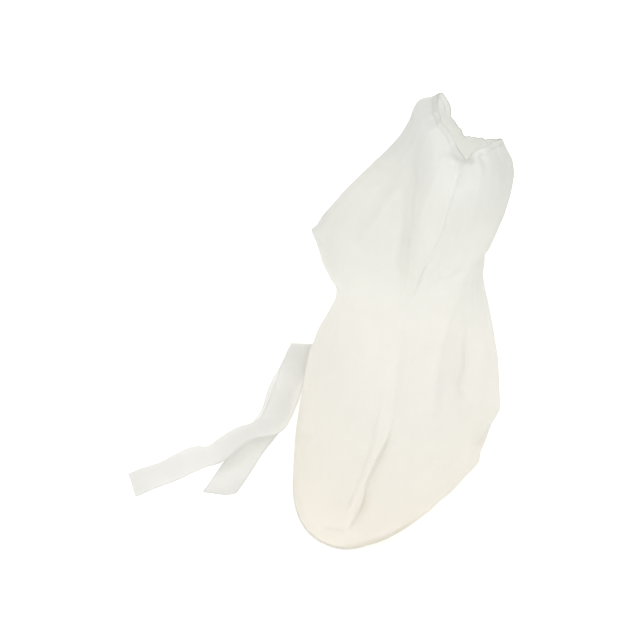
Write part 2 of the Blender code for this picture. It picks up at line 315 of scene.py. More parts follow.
upperSheet = sheetMaterial(
    "upperSheet", (0.958, 0.954, 0.931), (0.940, 0.936, 0.913),
    ("toeWarmth", (0.958, 0.940, 0.898)),
    # painted shade up the shaft and collar
    ("paintedCollarShade", (0.832, 0.839, 0.823)),
    # painted shade along the sole, under the toe's overhang and in the folds beside the seam
    ("paintedShadeLines", (0.760, 0.740, 0.660)),
)
# the hem's base colours are the upper's pale colour with the painted collar shade mixed in
hemSheet = sheetMaterial(
    "hemSheet", (0.852, 0.859, 0.842), (0.840, 0.847, 0.830),
    ("paintedRimShade", (0.800, 0.806, 0.788)),
    # painted shadow line along the top of the rim
    ("paintedShadeLines", (0.520, 0.520, 0.470)),
)
soleSheet = sheetMaterial("soleSheet", (0.930, 0.925, 0.905), (0.900, 0.895, 0.875))
# the ties' base colours are deep and stand as painted shade near the tack; the tint is painted light, paler
# where they lie in the boot's shade and under the other tie
tieSheet = sheetMaterial(
    "tieSheet", (0.850, 0.849, 0.834), (0.832, 0.831, 0.816),
    ("paintedTieLight", (0.957, 0.956, 0.944)),
)
print("sheet finishes made")


# upper: sections from the sole to the collar, in shares of the sole length, the collar height
# and half the ball width
upperCut = dict(
    soleLength=0.360,
    ballWidth=0.150,
    collarHeight=0.340,
    floorGap=0.0015,
    thickness=0.0007,
    columns=240,
    rows=200,
    crowding=0.62,  # how much the columns crowd towards the front seam
    earLean=0.38,
    earFront=1.15,
    earBack=1.60,
    probeUp=0.06,  # small steps up in sections and round in radians, which find the way out of the wall
    probeRound=0.03,
    soleFade=0.14,  # shares of the height over which the creases fade at the sole and at the rim
    rimFade=0.06,
    merge=0.00002,
    # front, frontUp, back, backUp, left, right,
    # leftRound, rightRound, leftTaper, rightTaper, leftEar, rightEar, seam
    sections=(
        (-0.506, 0.000, 0.489, 0.000, 0.86, 1.04, 2.45, 1.85, 0.10, 0.05, 0.0, 0.0, -0.05),
        (-0.513, 0.026, 0.503, 0.038, 0.90, 1.32, 2.46, 1.88, 0.09, 0.06, 0.0, 0.0, -0.06),
        (-0.487, 0.076, 0.508, 0.084, 0.99, 1.515, 2.28, 1.92, 0.08, 0.05, 0.0, 0.0, -0.05),
        (-0.414, 0.120, 0.506, 0.131, 1.10, 1.65, 2.09, 2.05, 0.06, 0.04, 0.0, 0.0, 0.00),
        (-0.306, 0.178, 0.494, 0.178, 1.19, 1.61, 1.93, 1.84, 0.05, -0.02, 0.0, 0.0, 0.07),
        (-0.183, 0.249, 0.478, 0.231, 1.13, 1.49, 1.75, 1.70, 0.03, -0.06, 0.0, 0.0, 0.11),
        (-0.061, 0.331, 0.461, 0.290, 1.10, 1.33, 1.61, 1.73, 0.01, 0.02, 0.0, 0.0, 0.07),
        (0.039, 0.425, 0.450, 0.360, 1.40, 1.14, 1.30, 1.76, 0.00, 0.00, 0.0, 0.0, 0.00),
        (0.089, 0.537, 0.450, 0.460, 1.575, 0.90, 1.22, 1.83, 0.00, 0.00, 0.0, 0.0, 0.00),
        (0.111, 0.660, 0.450, 0.584, 1.41, 0.84, 1.34, 1.95, 0.00, 0.01, 0.0, 0.0, 0.03),
        (0.122, 0.796, 0.433, 0.731, 1.10, 0.86, 1.54, 1.95, 0.01, 0.02, 0.012, 0.0, 0.00),
        (0.133, 0.930, 0.392, 0.850, 0.83, 0.80, 1.48, 1.95, 0.01, 0.01, 0.042, 0.005, -0.03),
        (0.156, 0.985, 0.336, 0.924, 0.75, 0.63, 1.94, 1.90, 0.00, 0.00, 0.150, 0.03, -0.05),
    ),
)
topRow = len(upperCut["sections"]) - 1

# the elastic draws the rim in: degrees from the front seam, and the shift to the right and up in metres
collarRim = dict(
    reach=0.45,
    shifts=(
        (-195, -0.001, 0.000),  # the first and the last row carry the curve on across the back
        (-180, 0.001, 0.000),
        (-165, 0.005, -0.002),
        (-150, 0.010, -0.009),
        (-130, 0.016, -0.016),
        (-115, 0.0195, -0.013),
        (-95, 0.014, -0.004),
        (-75, 0.013, -0.003),
        (-45, 0.008, 0.000),
        (-25, 0.005, 0.003),
        (-5, 0.003, -0.004),
        (15, 0.001, -0.004),
        (35, -0.005, 0.003),
        (65, -0.0095, 0.009),
        (100, -0.0075, 0.006),
        (130, -0.006, 0.000),
        (165, -0.001, 0.000),
        (180, 0.001, 0.000),
        (195, 0.005, -0.002),
    ),
)

# creases: the rise (a trough is below zero), the width to the left and right of the run, the crest's
# power (1 is pointed), the ends' fade, any lean to the right, and the run itself, in sections and
# degrees from the front seam
upperCreases = dict(
    # front seam: a flap folded to the left on the foot, and a fine sewn line up the shaft
    seamRidge=dict(rise=0.0036, left=0.0100, right=0.0055, power=2.0, fade=0.30,
                   path=((6.9, -5), (6.3, -3), (5.6, 1), (5.0, 3.6), (4.5, 3.4))),
    seamFlap=dict(rise=0.0036, left=0.0115, right=0.0030, power=2.2, fade=0.16, lean=0.0014,
                  path=((5.1, 4.4), (4.5, 4.4), (4.07, 2.4), (3.6, 1.2), (3.4, 1.1), (3.0, 2.6),
                        (2.3, 2.6), (1.7, 2.6))),
    seamGroove=dict(rise=-0.0036, left=0.0026, right=0.0066, power=1.6, fade=0.18,
                    path=((4.8, 8.2), (4.5, 6.5), (4.07, 4.6), (3.6, 3.6), (3.4, 3.6), (3.0, 4.4),
                          (2.3, 4.6), (1.9, 4.8))),
    seamEdge=dict(rise=-0.0018, left=0.0026, right=0.0016, power=1.4, fade=0.20,
                  path=((5.33, -8.2), (4.9, -7.2), (4.33, -3.2), (3.67, -2.2), (2.9, -1.6), (2.43, -1.2))),
    seamLine=dict(rise=-0.0014, left=0.0012, right=0.0030, power=1.4, fade=0.30,
                  path=((11.5, 8), (10.8, 5), (10.17, 5), (9.27, 3), (8.63, 1), (8.13, 0), (7.6, 0))),
    # shaft: a crest that drops into a trough, and facets to its left
    shaftCrest=dict(rise=0.0046, left=0.0240, right=0.0045, power=1.6, fade=0.28, lean=0.0010,
                    path=((10.27, -39), (9.63, -32), (8.97, -28), (8.53, -26), (8.0, -24))),
    shaftTrough=dict(rise=-0.0080, left=0.0062, right=0.0140, power=1.6, fade=0.22,
                     path=((11.1, -56), (10.73, -48), (10.47, -40), (10.17, -33.5), (9.5, -27), (8.67, -22),
                           (8.27, -19), (7.83, -15.5), (7.2, -13))),
    leftRidge=dict(rise=0.0046, left=0.0070, right=0.0200, power=1.4, fade=0.30,
                   path=((10.2, -42), (9.67, -43), (8.87, -45), (8.1, -48))),
    leftCorner=dict(rise=0.0078, left=0.0125, right=0.0125, power=1.0, fade=0.45,
                    path=((7.70, -68), (7.78, -84), (7.85, -102))),
    leftPinch=dict(rise=-0.0042, left=0.0090, right=0.0090, power=1.2, fade=0.35,
                   path=((6.8, -38), (6.42, -62), (6.25, -84), (6.35, -108))),
    rightPinch=dict(rise=-0.0044, left=0.0080, right=0.0080, power=1.2, fade=0.30,
                    path=((8.42, 44), (8.63, 64), (8.60, 86), (8.5, 108))),
    # ankle and instep
    ankleCrease=dict(rise=-0.0026, left=0.0050, right=0.0070, power=1.5, fade=0.30,
                     path=((7.95, 12), (8.32, 28), (8.52, 48))),
    ankleFold=dict(rise=0.0024, left=0.0080, right=0.0045, power=1.5, fade=0.35,
                   path=((7.65, 14), (8.0, 30), (8.25, 46))),
    rightRidge=dict(rise=0.0048, left=0.0120, right=0.0065, power=1.4, fade=0.22,
                    path=((8.33, 49), (7.47, 36), (6.77, 30), (6.27, 27), (5.6, 27), (4.97, 33))),
    rightTrough=dict(rise=-0.0080, left=0.0095, right=0.0120, power=2.0, fade=0.32,
                     path=((6.95, 55), (6.53, 53), (5.97, 52), (5.53, 49), (5.15, 48))),
    # foot
    rightCorner=dict(rise=0.0050, left=0.0180, right=0.0180, power=1.0, fade=0.45,
                     path=((4.05, 64), (3.85, 83), (3.7, 100))),
    ballCorner=dict(rise=0.0030, left=0.0120, right=0.0120, power=1.1, fade=0.45,
                    path=((3.2, 52), (3.02, 66), (2.6, 76))),
    rightNick=dict(rise=-0.0050, left=0.0090, right=0.0090, power=1.5, fade=0.40,
                   path=((3.65, 58), (3.5, 75), (3.3, 92))),
    ballCrease=dict(rise=0.0022, left=0.0080, right=0.0030, power=1.5, fade=0.35,
                    path=((3.73, 27), (3.80, 38), (3.6, 50))),
    sideNick=dict(rise=-0.0024, left=0.0045, right=0.0060, power=1.5, fade=0.35,
                  path=((2.50, -62), (3.57, -40))),
    toeLine=dict(rise=-0.0024, left=0.0026, right=0.0036, power=1.4, fade=0.30,
                 path=((1.43, -11), (1.87, 3))),
    # heel and back, where the shaft bends
    heelFoldLeft=dict(rise=-0.0036, left=0.0100, right=0.0070, power=1.5, fade=0.35,
                      path=((6.9, -162), (6.35, -138), (6.0, -116), (5.9, -100))),
    heelFoldRight=dict(rise=-0.0036, left=0.0070, right=0.0100, power=1.5, fade=0.35,
                       path=((7.4, 168), (6.75, 142), (6.45, 120), (6.4, 104))),
    heelCrest=dict(rise=0.0030, left=0.0090, right=0.0120, power=1.5, fade=0.40,
                   path=((6.2, 166), (5.75, 146), (5.55, 126))),
    backTrough=dict(rise=-0.0040, left=0.0130, right=0.0080, power=1.6, fade=0.35,
                    path=((11.2, 166), (10.2, 170), (9.2, 164), (8.3, 150))),
    backRidge=dict(rise=0.0036, left=0.0080, right=0.0140, power=1.6, fade=0.35,
                   path=((10.7, -168), (9.7, -162), (8.7, -158), (7.8, -148))),
    # collar
    notchPleat=dict(rise=0.0022, left=0.0050, right=0.0040, power=1.4, fade=0.30,
                    path=((11.77, -4), (11.2, -24))),
    notchFold=dict(rise=-0.0036, left=0.0036, right=0.0070, power=1.6, fade=0.30,
                   path=((11.85, 8), (11.4, 9), (11.0, 7), (10.6, 6))),
)
# points along a crease, how far each holds along it, and how many widths away a crease ends
creaseRun = dict(samples=120, hold=0.6, widths=6.0)

# painted shade in the folds beside the front seam: strokes set as the creases are, with the share of painted
# shade as the rise
paintedFoldShade = dict(
    upperFold=dict(rise=0.17, left=0.0024, right=0.0036, power=2.0, fade=0.40,
                   path=((4.75, 8.0), (4.5, 6.4), (4.2, 4.6), (3.83, 3.5), (3.5, 3.3))),
    lowerFold=dict(rise=0.20, left=0.0032, right=0.0042, power=2.0, fade=0.45,
                   path=((3.33, 4.0), (3.1, 4.4), (2.85, 4.7), (2.6, 4.7), (2.2, 4.3))),
    flapEdge=dict(rise=0.05, left=0.0014, right=0.0014, power=2.0, fade=0.30,
                  path=((4.9, -7.2), (4.33, -3.2), (3.67, -2.2), (2.9, -1.6), (2.43, -1.2))),
)
# painted shade line above the sole: degrees from the front seam, the section that it climbs to and its
# strength
edgeLine = dict(
    fade=0.35,
    degrees=(-180, -100, -60, -30, -10, 0, 8, 15, 22, 29, 34, 42, 60, 100, 180),
    rows=(0.3, 0.3, 0.2, 0.1, 0.1, 0.3, 0.85, 1.1, 1.25, 1.45, 1.75, 1.9, 0.4, 0.3, 0.3),
    weights=(0.5, 0.5, 0.3, 0.2, 0.2, 0.2, 0.28, 0.32, 0.36, 0.40, 0.40, 0.0, 0.0, 0.4, 0.5),
)
# painted shade: the sheet is darkened up the shaft and in some spots, less in others, and it is warmer
# towards the toe
toneAndPaintedShade = dict(
    shaftSteps=((0.47, 6.0, 9.2), (0.45, 9.4, 11.4)),  # how much, and the sections from and to
    # degrees and their spread, section and its reach, and how much painted shade is added (or taken off,
    # below zero)
    shaftSpots=(
        (-80, 34, 8.0, 1.1, 0.26),  # left corner
        (-66, 18, 7.3, 0.6, 0.22),
        (38, 26, 8.6, 1.2, -0.24),  # right ankle
        (70, 18, 11.2, 0.8, -0.22),  # right of the collar
        (18, 20, 10.2, 1.0, 0.14),  # right of the seam
        (-14, 10, 8.8, 1.0, -0.08),
        (36, 14, 5.9, 0.7, 0.10),  # right of the instep
    ),
    warmBelow=2.4,
    coolAbove=5.2,
    warmFront=0.25,
)
collarGathers = dict(depth=0.0008, reach=1.15, waves=((17, 0.55, 0.6), (26, 0.35, 2.1), (9, 0.45, 1.0)))
sheetSlack = dict(
    wide=0.0016,
    wideScale=17.0,
    wideDraw=0.7,
    small=0.0007,
    smallScale=48.0,
    smallDraw=0.8,
    streak=0.0007,
    streaks=9.5,
    streakRun=0.35,
)


def rimShift(places, angles):
    shifts = np.array(collarRim["shifts"])
    spots = np.interp(turnedDegrees(angles), shifts[:, 0], np.arange(len(shifts)))
    drawn = easeIn(places, topRow - collarRim["reach"], topRow)
    return smoothRows(shifts[:, 1:], spots) * drawn[:, None]


def onUpper(places, angles):
    # points of the plain upper, by section and by angle from the front seam
    p = upperCut
    (front, frontUp, back, backUp, left, right, leftRound, rightRound, leftTaper, rightTaper,
     leftEar, rightEar, seam) = smoothRows(p["sections"], places).T
    c, n = np.cos(angles), np.sin(angles)
    toRight = n > 0.0
    halfWidth = 0.5 * p["ballWidth"] * np.where(toRight, right, left)
    power = 2.0 / np.where(toRight, rightRound, leftRound)
    along, across = signedPower(c, power), signedPower(n, power)
    taper = np.where(toRight, rightTaper, leftTaper)
    ear = np.where(toRight, rightEar, leftEar) * np.abs(n) ** np.where(c > 0.0, p["earFront"], p["earBack"])
    x = halfWidth * across * (1.0 + taper * along) + 0.25 * p["ballWidth"] * seam * (1.0 + c)
    y = 0.5 * p["soleLength"] * ((front + back) - (back - front) * along)
    up = frontUp + 0.5 * (backUp - frontUp) * (1.0 - along) + ear * (1.0 - p["earLean"] * c)
    drawn = rimShift(places, angles)
    return np.stack([x + drawn[:, 0], y, p["floorGap"] + p["collarHeight"] * up + drawn[:, 1]], axis=1)


def outOfUpper(places, angles):
    up, turn = upperCut["probeUp"], upperCut["probeRound"]
    rise = onUpper(places + up, angles) - onUpper(places - up, angles)
    around = onUpper(places, angles + turn) - onUpper(places, angles - turn)
    return unit(np.cross(around, rise))


def creaseMove(points, normals, crease):
    # how far one crease lifts each point along its normal, and how far it leans it to the right
    p = creaseRun
    path = np.array(crease["path"], float)
    steps = np.linspace(0.0, 1.0, p["samples"])
    route = smoothRows(path, steps * (len(path) - 1))
    spine = onUpper(route[:, 0], np.radians(route[:, 1]))
    facing = outOfUpper(route[:, 0], np.radians(route[:, 1]))
    spacing = np.gradient(spine, axis=0)
    run, half = unit(spacing), p["hold"] * np.linalg.norm(spacing, axis=1)
    toRight = unit(np.cross(facing, spacing))
    reach = p["widths"] * max(crease["left"], crease["right"])
    inside = (points > spine.min(axis=0) - reach) & (points < spine.max(axis=0) + reach)
    close = np.flatnonzero(inside.all(axis=1))
    gaps = np.linalg.norm(points[close][:, None, :] - spine[None, :, :], axis=2)
    near = gaps.argmin(axis=1)
    offset = points[close] - spine[near]
    along = np.clip(np.einsum("ij,ij->i", offset, run[near]), -half[near], half[near])
    away = np.linalg.norm(offset - run[near] * along[:, None], axis=1)
    side = np.einsum("ij,ij->i", offset, toRight[near])
    width = np.where(side < 0.0, crease["left"], crease["right"])
    ends = easeIn(steps, 0.0, crease["fade"]) * easeIn(1.0 - steps, 0.0, crease["fade"])
    facingSame = np.einsum("ij,ij->i", normals[close], facing[near]) > 0.0
    strength = np.where(facingSame, np.exp(-((away / width) ** crease["power"])) * ends[near], 0.0)
    lift, shift = np.zeros(len(points)), np.zeros_like(points)
    lift[close] = crease["rise"] * strength
    shift[close] = crease.get("lean", 0.0) * strength[:, None] * toRight[near]
    return lift, shift


def gatherWave(angles):
    return sum(size * np.sin(count * angles + phase) for count, size, phase in collarGathers["waves"])


def slackLift(points, places, angles):
    # broad slackness, small crumples and soft streaks that run up the boot
    p = sheetSlack
    lift = []
    for (x, y, z), place, angle in zip(points, places, angles):
        wide = noise.noise(Vector((x, y, z * p["wideDraw"])) * p["wideScale"])
        small = abs(noise.noise(Vector((z, x, y * p["smallDraw"])) * p["smallScale"]))
        turn = Vector((math.cos(angle), math.sin(angle), 0.0)) * p["streaks"]
        streak = noise.noise(turn + Vector((0.0, 0.0, place * p["streakRun"])))
        lift.append(p["wide"] * wide - p["small"] * small + p["streak"] * streak)
    return np.array(lift)


def shapedUpper(places, angles):
    # points of the upper with its creases, slackness and gathers
    points, normals = onUpper(places, angles), outOfUpper(places, angles)
    share = places / topRow
    lift, shift = np.zeros(len(points)), np.zeros_like(points)
    for crease in upperCreases.values():
        up, over = creaseMove(points, normals, crease)
        lift += up
        shift += over
    lift += slackLift(points, places, angles)
    fade = easeIn(share, 0.0, upperCut["soleFade"]) * easeIn(1.0 - share, 0.0, upperCut["rimFade"])
    drawn = easeIn(places, topRow - collarGathers["reach"], topRow)
    gather = collarGathers["depth"] * gatherWave(angles) * drawn
    return points + normals * (lift * fade + gather)[:, None] + shift * fade[:, None]


def crowdedAngles(shares):
    even = 2.0 * math.pi * shares
    return even - upperCut["crowding"] * np.sin(even)


def backToBack(across):
    # angles across the cut, whose two edges meet at the back
    return crowdedAngles(across + 0.5)


def clothMeasures(p):
    # distance round from the front seam and up from the sole, for each row and column of the cut
    shares = np.linspace(0.0, 1.0, p["columns"] + 1)
    places = np.linspace(0.0, topRow, p["rows"] + 1)
    placeGrid, shareGrid = np.meshgrid(places, shares, indexing="ij")
    points = onUpper(placeGrid.ravel(), backToBack(shareGrid.ravel())).reshape(*placeGrid.shape, 3)
    around = np.zeros(placeGrid.shape)
    around[:, 1:] = np.linalg.norm(np.diff(points, axis=1), axis=2).cumsum(axis=1)
    around -= around[:, p["columns"] // 2][:, None]
    upward = np.zeros(placeGrid.shape)
    upward[1:] = np.linalg.norm(np.diff(points, axis=0), axis=2).cumsum(axis=0)
    return around, upward


# painted shade: darker up the shaft and collar, and more or less so in some spots
def paintedShaftShade(places, turned):
    shade = sum(depth * easeIn(places, low, high) for depth, low, high in toneAndPaintedShade["shaftSteps"])
    for degree, spread, place, reach, depth in toneAndPaintedShade["shaftSpots"]:
        shade = shade + depth * np.exp(-(((turned - degree) / spread) ** 2) - ((places - place) / reach) ** 2)
    return np.clip(shade, 0.0, 1.0)


def toeWarmth(places, angles):
    front = toneAndPaintedShade["warmFront"]
    low = easeIn(-places, -toneAndPaintedShade["coolAbove"], -toneAndPaintedShade["warmBelow"])
    return low * (1.0 - front + front * np.cos(angles))


def upperPaintedShade(places, angles):
    # painted shade: a dark line above the sole, which climbs under the right of the toe where the upper
    # overhangs, and dark strokes in the folds beside the seam
    p = edgeLine
    turned = turnedDegrees(angles)
    lowest = np.interp(turned, p["degrees"], p["rows"])
    shading = np.interp(turned, p["degrees"], p["weights"]) * easeIn(lowest - places, -p["fade"], 0.0)
    points, normals = onUpper(places, angles), outOfUpper(places, angles)
    for stroke in paintedFoldShade.values():
        shading = shading + creaseMove(points, normals, stroke)[0]
    return shading


def makeUpper(p):
    bm, across, along = flatSheet(p["columns"], p["rows"])
    angles = backToBack(across)
    places = along * topRow
    shapeSheet(bm, shapedUpper(places, angles))
    sideways, upward = clothMeasures(p)
    row, column = np.rint(along * p["rows"]).astype(int), np.rint(across * p["columns"]).astype(int)
    metricMap(bm, np.stack([sideways[row, column], upward[row, column]], axis=1).tolist())
    paint(bm, "toeWarmth", toeWarmth(places, angles))
    # painted shade up the shaft and collar
    paint(bm, "paintedCollarShade", paintedShaftShade(places, turnedDegrees(angles)))
    # painted shade along the sole, under the toe's overhang and in the folds beside the seam
    paint(bm, "paintedShadeLines", upperPaintedShade(places, angles))
    bmesh.ops.remove_doubles(bm, verts=bm.verts, dist=p["merge"])
    bmesh.ops.recalc_face_normals(bm, faces=bm.faces)
    piece = newPiece("upperCloth", bm, upperSheet, ["upper"])
    thicken(piece, p["thickness"], -1.0)
    return piece


upperCloth = makeUpper(upperCut)
print("upper shaped:", len(upperCloth.data.polygons), "faces")


# seam thread: small sewn stitches along the front seam, on the flap of the foot and up the shaft
seamThread = dict(
    pitch=0.0042,
    halfLength=0.0014,
    halfWidth=0.00026,
    halfHeight=0.00018,
    above=0.00008,
    sides=8,
    rings=5,
    samples=500,
    lines=(
        ((5.2, -6.6), (4.9, -5.6), (4.33, -1.8), (3.67, -0.8), (2.9, -0.2), (2.35, 0.2)),
        ((11.2, 4.6), (10.8, 2.6), (10.17, 2.4), (9.27, 0.4), (8.63, -1.6), (8.13, -2.4), (7.5, -2.2)),
    ),
    deep=(0.80, 0.80, 0.77),
    pale=(0.90, 0.90, 0.87),
    twist=dict(scale=2600.0, detail=2.0),
    twistBump=dict(distance=0.0001, strength=0.4),
    roughness=0.6,
)


def threadMaterial(p):
    material = bpy.data.materials.new("seamThread")
    material.use_nodes = True
    tree = material.node_tree
    shader = tree.nodes["Principled BSDF"]
    body = addNode(tree, "TexCoord").outputs["Object"]
    twist = noiseOn(tree, body, **p["twist"])
    colour = blendColours(tree, twist, (*p["deep"], 1.0), (*p["pale"], 1.0))
    link(tree, colour, shader.inputs["Base Color"])
    link(tree, bumpFrom(tree, twist, **p["twistBump"]), shader.inputs["Normal"])
    shader.inputs["Roughness"].default_value = p["roughness"]
    return material


def sewLine(bm, points, out, p):
    # one row of stitches along the points, each lying on the sheet
    last = len(points) - 1
    runs = np.concatenate([[0.0], np.linalg.norm(np.diff(points, axis=0), axis=1).cumsum()])
    for number in range(1, int(runs[-1] / p["pitch"]) + 1):
        k = int(np.searchsorted(runs, (number - 0.5) * p["pitch"]))
        run = Vector(unit(points[min(k + 3, last)] - points[max(k - 3, 0)]))
        up = Vector(out[k])
        up = (up - run * up.dot(run)).normalized()
        axes = (run * p["halfLength"], up.cross(run) * p["halfWidth"], up * p["halfHeight"])
        place = Matrix.Translation(Vector(points[k]) + up * p["above"]) @ Matrix(axes).transposed().to_4x4()
        bmesh.ops.create_uvsphere(bm, u_segments=p["sides"], v_segments=p["rings"], radius=1.0, matrix=place)


def makeSeamStitches(p):
    bm = bmesh.new()
    for line in p["lines"]:
        route = smoothRows(line, np.linspace(0.0, len(line) - 1, p["samples"]))
        places, angles = route[:, 0], np.radians(route[:, 1])
        sewLine(bm, shapedUpper(places, angles), outOfUpper(places, angles), p)
    bmesh.ops.recalc_face_normals(bm, faces=bm.faces)
    return newPiece("seamStitches", bm, threadSheet)


threadSheet = threadMaterial(seamThread)
seamStitches = makeSeamStitches(seamThread)
print("seam sewn:", len(seamStitches.data.polygons), "faces")


# collar hem: the turned edge round the elastic, flush with the upper below and rolled at the top
hemCut = dict(
    height=0.0065,
    cloth=0.0007,
    roll=0.00025,
    rollAt=0.74,
    rollSpread=0.22,
    gap=0.00003,
    columns=420,
    sides=22,
    flat=(0.30, 0.020),
    probeDown=0.2,  # steps down in sections and round in radians, which find the way up and out
    probeRound=0.012,
    pucker=0.14,
    puckerWaves=(83.0, 37.0),
    merge=0.00001,
    # painted shade: the hem is greyer on the left, where it faces up to the light, between these degrees from
    # the front seam
    shadeFront=(8.0, 24.0),
    shadeBack=(-112.0, -88.0),
    # how much painted shadow darkens the top of the rim, as a thin line, by degrees from the front seam
    rimLineHeights=(0.84, 0.97),
    rimLineDegrees=(-180, -120, -85, -70, -20, -6, 12, 26, 45, 75, 120, 180),
    rimLineShares=(1.0, 1.0, 0.9, 0.4, 0.25, 0.9, 0.9, 0.3, 0.45, 0.8, 1.0, 1.0),
)


def makeHem(p):
    bm, across, around = flatSheet(p["columns"], p["sides"])
    angles = backToBack(across)
    top = np.full(len(angles), float(topRow))
    rim = shapedUpper(top, angles)
    below = shapedUpper(top - p["probeDown"], angles)
    ahead = shapedUpper(top, angles + p["probeRound"])
    behind = shapedUpper(top, angles - p["probeRound"])
    up = unit(rim - below)
    out = unit(np.cross(ahead - behind, up))
    high = np.sin(math.pi * around)  # up the outer face, over the roll and down the inner face
    first, second = p["puckerWaves"]
    pucker = 1.0 + p["pucker"] * np.sin(first * angles) * np.sin(second * angles + 1.0)
    half = 0.5 * p["cloth"] + p["roll"] * pucker * np.exp(-(((high - p["rollAt"]) / p["rollSpread"]) ** 2))
    half = half * np.sqrt(np.maximum(1.0 - high**6, 0.0)) * np.where(around < 0.5, 1.0, -1.0)
    rise = (p["gap"] + p["height"] * high)[:, None]
    shapeSheet(bm, rim + up * rise + out * (half - 0.5 * p["cloth"])[:, None])
    metricMap(bm, np.stack([across * p["flat"][0], around * p["flat"][1]], axis=1).tolist())
    turned = turnedDegrees(angles)
    # painted shade on the left of the hem, where it faces up to the light
    paint(bm, "paintedRimShade", easeIn(-turned, *p["shadeFront"]) * easeIn(turned, *p["shadeBack"]))
    # painted shadow line along the top of the rim
    shading = np.interp(turned, p["rimLineDegrees"], p["rimLineShares"])
    paint(bm, "paintedShadeLines", easeIn(high, *p["rimLineHeights"]) * shading)
    bmesh.ops.remove_doubles(bm, verts=bm.verts, dist=p["merge"])
    lower = [e for e in bm.edges if e.is_boundary]
    bmesh.ops.bridge_loops(bm, edges=lower)
    bmesh.ops.recalc_face_normals(bm, faces=bm.faces)
    return newPiece("collarHem", bm, hemSheet, ["collar_hem"])


collarHem = makeHem(hemCut)
print("collar hem shaped:", len(collarHem.data.polygons), "faces")


# sole: a flat panel, a little larger than the foot of the upper
soleCut = dict(
    thickness=0.0012,
    margin=0.0015,
    points=240,
    probeRound=0.02,
    rounding=0.0004,
    roundingSteps=3,
    level=1e-6,  # an edge is level if its ends differ by less than this in height
)


def soleEdge(angles, p):
    ground = np.zeros(len(angles))
    ahead = onUpper(ground, angles + p["probeRound"])[:, :2]
    behind = onUpper(ground, angles - p["probeRound"])[:, :2]
    run = unit(ahead - behind)
    return onUpper(ground, angles)[:, :2] + p["margin"] * np.stack([run[:, 1], -run[:, 0]], axis=1)


def makeSole(p):
    bm = bmesh.new()
    bmesh.ops.create_circle(bm, cap_ends=True, radius=1.0, segments=p["points"])
    turns = np.arctan2([v.co.x for v in bm.verts], [-v.co.y for v in bm.verts])
    for v, (x, y) in zip(bm.verts, soleEdge(crowdedAngles(turns / (2.0 * math.pi)), p)):
        v.co = (x, y, 0.0)
    walls = bmesh.ops.extrude_face_region(bm, geom=bm.faces[:])
    raised = [g for g in walls["geom"] if isinstance(g, bmesh.types.BMVert)]
    bmesh.ops.translate(bm, verts=raised, vec=(0.0, 0.0, p["thickness"]))
    bmesh.ops.recalc_face_normals(bm, faces=bm.faces)
    rims = [e for e in bm.edges if abs(e.verts[0].co.z - e.verts[1].co.z) < p["level"]]
    bmesh.ops.bevel(bm, geom=rims, offset=p["rounding"], offset_type="OFFSET", affect="EDGES",
                    segments=p["roundingSteps"], profile=0.5, material=-1)
    metricMap(bm, [v.co.xy[:] for v in bm.verts])
    return newPiece("solePanel", bm, soleSheet, ["sole"])


solePanel = makeSole(soleCut)
print("sole panel shaped")


# ties: two flat strips, sewn on at one corner of the ankle
tieCut = dict(
    width=0.030,
    thickness=0.0005,
    columns=14,
    perStation=14,
    lowest=0.0004,
    tackPlace=2.9,
    tackAngle=-101.5,
    tackOut=0.0006,
    stackOut=0.6,
    tackAcross=0.90,
    tackEnd=0.095,
    probeAlong=0.02,
    lengthSamples=400,
    tackSamples=120,
)
# stations: side, along, height, turn and tilt from the tack outwards. corner: rounding of the right corner at
# the free end. pale: painted light at the left and right edge, and how much of that shows at each share of
# the length
shortEnd = dict(
    node="tie_short",
    stations=(
        (0.0000, 0.000, 0.0000, -7.0, 25.0),
        (-0.0192, -0.018, 0.0150, -8.0, 14.0),
        (-0.0237, -0.045, 0.0032, -4.0, 4.0),
        (-0.0236, -0.079, 0.0006, -4.0, 0.0),
        (-0.0301, -0.110, 0.0006, -15.0, 0.0),
        (-0.0367, -0.134, 0.0006, -17.0, 0.0),
        (-0.0436, -0.169, 0.0006, -13.0, 0.0),
        (-0.0531, -0.212, 0.0006, 12.0, 0.0),
    ),
    corner=0.011,
    paleEdges=(1.0, 0.65),
    paleAlong=(0.0, 0.40, 0.53, 0.72, 1.0),
    paleShares=(0.4, 0.4, 1.0, 0.9, 0.2),
)
longEnd = dict(
    node="tie_long",
    stations=(
        (0.0000, 0.000, 0.0020, -7.0, 25.0),
        (-0.0185, -0.018, 0.0172, -8.0, 14.0),
        (-0.0182, -0.046, 0.0052, -4.0, 4.0),
        (-0.0205, -0.081, 0.0024, -5.0, 2.0),
        (-0.0266, -0.105, 0.0048, -20.0, 10.0),
        (-0.0476, -0.127, 0.0078, -36.0, 22.0),
        (-0.0596, -0.146, 0.0076, -32.0, 23.0),
        (-0.0691, -0.164, 0.0062, -38.0, 16.0),
        (-0.0851, -0.174, 0.0032, -48.0, 2.0),
        (-0.0981, -0.190, 0.0034, -40.0, 3.0),
        (-0.1096, -0.205, 0.0030, -40.0, 6.0),
        (-0.1256, -0.221, 0.0026, -44.0, 4.0),
        (-0.1386, -0.235, 0.0012, -60.0, 2.0),
    ),
    corner=0.002,
    paleEdges=(0.9, 1.0),
    paleAlong=(0.0, 0.06, 0.14, 0.27, 0.42, 0.8, 1.0),
    paleShares=(0.35, 0.45, 1.0, 1.0, 0.4, 0.22, 0.15),
)


def widthWay(turn, tilt):
    return np.stack([np.cos(turn) * np.cos(tilt), np.sin(turn) * np.cos(tilt), np.sin(tilt)], axis=-1)


